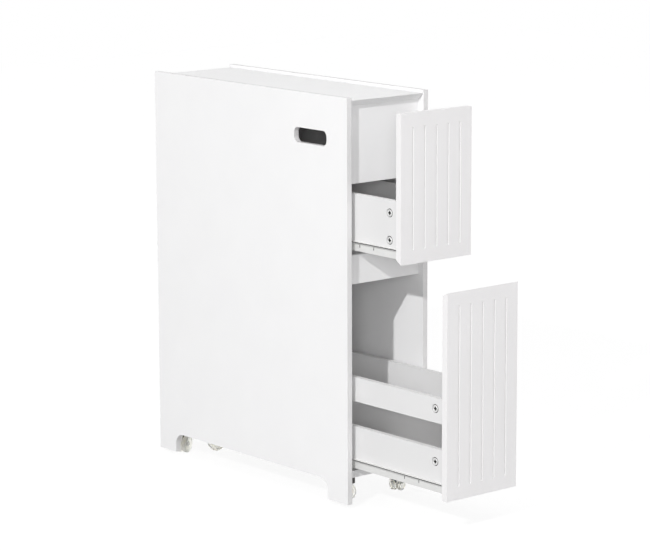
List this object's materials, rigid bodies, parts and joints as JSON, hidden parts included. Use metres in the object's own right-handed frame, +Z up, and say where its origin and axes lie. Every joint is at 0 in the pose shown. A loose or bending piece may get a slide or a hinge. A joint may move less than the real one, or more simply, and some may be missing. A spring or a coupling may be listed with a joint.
{
  "type": "slim bathroom storage cabinet",
  "caption": "Narrow white bathroom cabinet on casters with a lift-up lid over a slotted tissue compartment and grooved-front drawers on roller runners.",
  "frame": {"origin": "centre of the footprint with the drawers as pictured, on the floor under the wheels", "axes": "+X to the right seen from the front, +Y to the back, +Z up; the drawers open towards -Y"},
  "size_m": [0.182, 0.771, 0.708],
  "materials": {
    "panel_white": "white foil on fibreboard, satin",
    "front_white": "white wrapped fibreboard, satin",
    "inner_white": "white foil on chipboard, satin",
    "back_white": "white hardboard, matt",
    "drawer_bottom_white": "white hardboard, satin",
    "dowel_wood": "plain beech",
    "cam_zinc": "zinc casting",
    "bolt_steel": "bright zinc plate",
    "screw_steel": "bright zinc plate",
    "runner_white": "white epoxy coat, satin",
    "roller_nylon": "natural nylon",
    "bush_plastic": "white moulded plastic",
    "caster_steel": "dark coat",
    "caster_dark": "dark moulded plastic",
    "wheel_cream": "translucent cream moulding"
  },
  "bodies": {
    "cabinet": {"left_side_panel": "panel_white", "right_side_panel": "panel_white", "tissue_front_panel": "panel_white", "middle_rail": "panel_white", "tissue_shelf": "panel_white", "bottom_panel": "panel_white", "back_panel": "back_white", "carcass_dowels": "dowel_wood", "carcass_cam_locks": "cam_zinc", "carcass_cam_bolts": "bolt_steel", "carcass_screws": "screw_steel", "caster_plates": "caster_steel", "lid_bushes": "bush_plastic", "upper_left_cabinet_runner": "runner_white", "upper_right_cabinet_runner": "runner_white", "lower_left_cabinet_runner": "runner_white", "lower_right_cabinet_runner": "runner_white"},
    "lid": {"lid": "panel_white", "lid_pivot_pins": "bolt_steel"},
    "upper_drawer": {"upper_drawer_front": "front_white", "upper_drawer_left_side": "inner_white", "upper_drawer_right_side": "inner_white", "upper_drawer_back": "inner_white", "upper_drawer_bottom": "drawer_bottom_white", "upper_left_drawer_runner": "runner_white", "upper_right_drawer_runner": "runner_white", "upper_drawer_cam_locks": "cam_zinc", "upper_drawer_cam_bolts": "bolt_steel", "upper_drawer_screws": "screw_steel"},
    "lower_drawer": {"lower_drawer_front": "front_white", "lower_drawer_left_board": "inner_white", "lower_drawer_right_board": "inner_white", "lower_drawer_left_rail": "inner_white", "lower_drawer_right_rail": "inner_white", "lower_drawer_back": "inner_white", "lower_drawer_bottom": "drawer_bottom_white", "lower_left_drawer_runner": "runner_white", "lower_right_drawer_runner": "runner_white", "lower_drawer_cam_locks": "cam_zinc", "lower_drawer_cam_bolts": "bolt_steel", "lower_drawer_screws": "screw_steel"},
    "upper_left_front_roller": {"upper_left_front_roller": "roller_nylon"},
    "upper_left_rear_roller": {"upper_left_rear_roller": "roller_nylon"},
    "upper_right_front_roller": {"upper_right_front_roller": "roller_nylon"},
    "upper_right_rear_roller": {"upper_right_rear_roller": "roller_nylon"},
    "lower_left_front_roller": {"lower_left_front_roller": "roller_nylon"},
    "lower_left_rear_roller": {"lower_left_rear_roller": "roller_nylon"},
    "lower_right_front_roller": {"lower_right_front_roller": "roller_nylon"},
    "lower_right_rear_roller": {"lower_right_rear_roller": "roller_nylon"},
    "front_left_arm": {"front_left_caster_arm": "caster_dark"},
    "front_left_wheels": {"front_left_caster_wheels": "wheel_cream"},
    "front_right_arm": {"front_right_caster_arm": "caster_dark"},
    "front_right_wheels": {"front_right_caster_wheels": "wheel_cream"},
    "back_left_arm": {"back_left_caster_arm": "caster_dark"},
    "back_left_wheels": {"back_left_caster_wheels": "wheel_cream"},
    "back_right_arm": {"back_right_caster_arm": "caster_dark"},
    "back_right_wheels": {"back_right_caster_wheels": "wheel_cream"},
    "back_middle_arm": {"back_middle_caster_arm": "caster_dark"},
    "back_middle_wheels": {"back_middle_caster_wheels": "wheel_cream"}
  },
  "joints": [
    {"name": "lid_hinge", "type": "hinge", "parent": "cabinet", "child": "lid", "pos_m": [0, 0.3795, 0.698], "axis": [-1, 0, 0], "range_deg": [0, 90]},
    {"name": "upper_slide", "type": "slide", "parent": "cabinet", "child": "upper_drawer", "axis": [0, -1, 0], "range_m": [-0.122, 0.178]},
    {"name": "lower_slide", "type": "slide", "parent": "cabinet", "child": "lower_drawer", "axis": [0, -1, 0], "range_m": [-0.236, 0.064]},
    {"name": "upper_left_front_roller_spin", "type": "hinge", "parent": "cabinet", "child": "upper_left_front_roller", "pos_m": [-0.0756, -0.1235, 0.4545], "axis": [1, 0, 0], "continuous": true},
    {"name": "upper_left_rear_roller_spin", "type": "hinge", "parent": "upper_drawer", "child": "upper_left_rear_roller", "pos_m": [-0.0733, 0.1285, 0.4545], "axis": [1, 0, 0], "continuous": true},
    {"name": "upper_right_front_roller_spin", "type": "hinge", "parent": "cabinet", "child": "upper_right_front_roller", "pos_m": [0.0756, -0.1235, 0.4545], "axis": [1, 0, 0], "continuous": true},
    {"name": "upper_right_rear_roller_spin", "type": "hinge", "parent": "upper_drawer", "child": "upper_right_rear_roller", "pos_m": [0.0733, 0.1285, 0.4545], "axis": [1, 0, 0], "continuous": true},
    {"name": "lower_left_front_roller_spin", "type": "hinge", "parent": "cabinet", "child": "lower_left_front_roller", "pos_m": [-0.0756, -0.1235, 0.076], "axis": [1, 0, 0], "continuous": true},
    {"name": "lower_left_rear_roller_spin", "type": "hinge", "parent": "lower_drawer", "child": "lower_left_rear_roller", "pos_m": [-0.0733, 0.0145, 0.076], "axis": [1, 0, 0], "continuous": true},
    {"name": "lower_right_front_roller_spin", "type": "hinge", "parent": "cabinet", "child": "lower_right_front_roller", "pos_m": [0.0756, -0.1235, 0.076], "axis": [1, 0, 0], "continuous": true},
    {"name": "lower_right_rear_roller_spin", "type": "hinge", "parent": "lower_drawer", "child": "lower_right_rear_roller", "pos_m": [0.0733, 0.0145, 0.076], "axis": [1, 0, 0], "continuous": true},
    {"name": "front_left_swivel", "type": "hinge", "parent": "cabinet", "child": "front_left_arm", "pos_m": [-0.05289, -0.11038, 0.042], "axis": [0, 0, 1], "continuous": true},
    {"name": "front_left_roll", "type": "hinge", "parent": "front_left_arm", "child": "front_left_wheels", "pos_m": [-0.05506, -0.10165, 0.016], "axis": [-0.9703, -0.2419, 0], "continuous": true},
    {"name": "front_right_swivel", "type": "hinge", "parent": "cabinet", "child": "front_right_arm", "pos_m": [0.05289, -0.11038, 0.042], "axis": [0, 0, 1], "continuous": true},
    {"name": "front_right_roll", "type": "hinge", "parent": "front_right_arm", "child": "front_right_wheels", "pos_m": [0.0609, -0.1063, 0.016], "axis": [-0.454, 0.891, 0], "continuous": true},
    {"name": "back_left_swivel", "type": "hinge", "parent": "cabinet", "child": "back_left_arm", "pos_m": [-0.05289, 0.35739, 0.042], "axis": [0, 0, 1], "continuous": true},
    {"name": "back_left_roll", "type": "hinge", "parent": "back_left_arm", "child": "back_left_wheels", "pos_m": [-0.0609, 0.3533, 0.016], "axis": [0.454, -0.891, 0], "continuous": true},
    {"name": "back_right_swivel", "type": "hinge", "parent": "cabinet", "child": "back_right_arm", "pos_m": [0.05289, 0.35739, 0.042], "axis": [0, 0, 1], "continuous": true},
    {"name": "back_right_roll", "type": "hinge", "parent": "back_right_arm", "child": "back_right_wheels", "pos_m": [0.06026, 0.36255, 0.016], "axis": [-0.5736, 0.8192, 0], "continuous": true},
    {"name": "back_middle_swivel", "type": "hinge", "parent": "cabinet", "child": "back_middle_arm", "pos_m": [0, 0.31738, 0.042], "axis": [0, 0, 1], "continuous": true},
    {"name": "back_middle_roll", "type": "hinge", "parent": "back_middle_arm", "child": "back_middle_wheels", "pos_m": [-0.0045, 0.32518, 0.016], "axis": [-0.866, -0.5, 0], "continuous": true}
  ],
  "couplings": [
    {"joint": "upper_left_front_roller_spin", "follows": "upper_slide", "rad_per_m": 125},
    {"joint": "upper_left_rear_roller_spin", "follows": "upper_slide", "rad_per_m": 125},
    {"joint": "upper_right_front_roller_spin", "follows": "upper_slide", "rad_per_m": 125},
    {"joint": "upper_right_rear_roller_spin", "follows": "upper_slide", "rad_per_m": 125},
    {"joint": "lower_left_front_roller_spin", "follows": "lower_slide", "rad_per_m": 125},
    {"joint": "lower_left_rear_roller_spin", "follows": "lower_slide", "rad_per_m": 125},
    {"joint": "lower_right_front_roller_spin", "follows": "lower_slide", "rad_per_m": 125},
    {"joint": "lower_right_rear_roller_spin", "follows": "lower_slide", "rad_per_m": 125}
  ]
}
